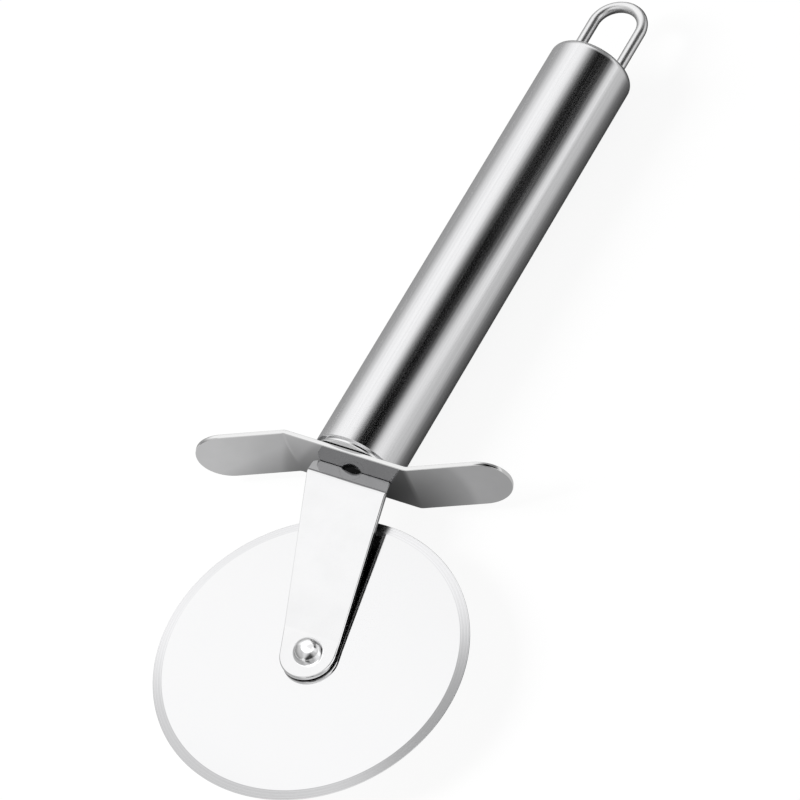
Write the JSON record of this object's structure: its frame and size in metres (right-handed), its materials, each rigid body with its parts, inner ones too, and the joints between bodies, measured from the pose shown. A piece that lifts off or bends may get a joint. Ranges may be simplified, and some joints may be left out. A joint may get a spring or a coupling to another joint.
{
  "type": "pizza cutter",
  "caption": "Steel pizza cutter: free-rolling blade wheel riveted to one slanted arm, Z-bent finger guard, round tube handle and wire hanging loop.",
  "frame": {"origin": "under the middle of the bounding box, on the surface that the cutter lies on", "axes": "+X along the handle's axis from the blade to the hanging loop, +Z along the axle towards the rivet's domed head, +Y away from the side to which the blade is set"},
  "size_m": [0.2008, 0.0798, 0.0186],
  "materials": {
    "blade_steel": "polished faces with a finely ground bevel at the rim",
    "polished_steel": "mirror-polished stainless steel",
    "satin_steel": "satin stainless steel, brushed along the handle",
    "plain_steel": "plain turned or stamped steel"
  },
  "bodies": {
    "cutter_body": {"axle_rivet": "polished_steel", "axle_bush": "plain_steel", "front_washer": "plain_steel", "rear_washer": "plain_steel", "arm": "polished_steel", "guard": "polished_steel", "neck_rivet": "polished_steel", "lower_cap": "polished_steel", "handle_tube": "satin_steel", "upper_cap": "satin_steel", "hanging_loop": "polished_steel"},
    "wheel": {"blade_wheel": "blade_steel"}
  },
  "joints": [
    {"name": "wheel_spin", "type": "hinge", "parent": "cutter_body", "child": "wheel", "pos_m": [-0.0679, -0.00737, 0.0093], "axis": [0, 0, 1], "continuous": true}
  ]
}
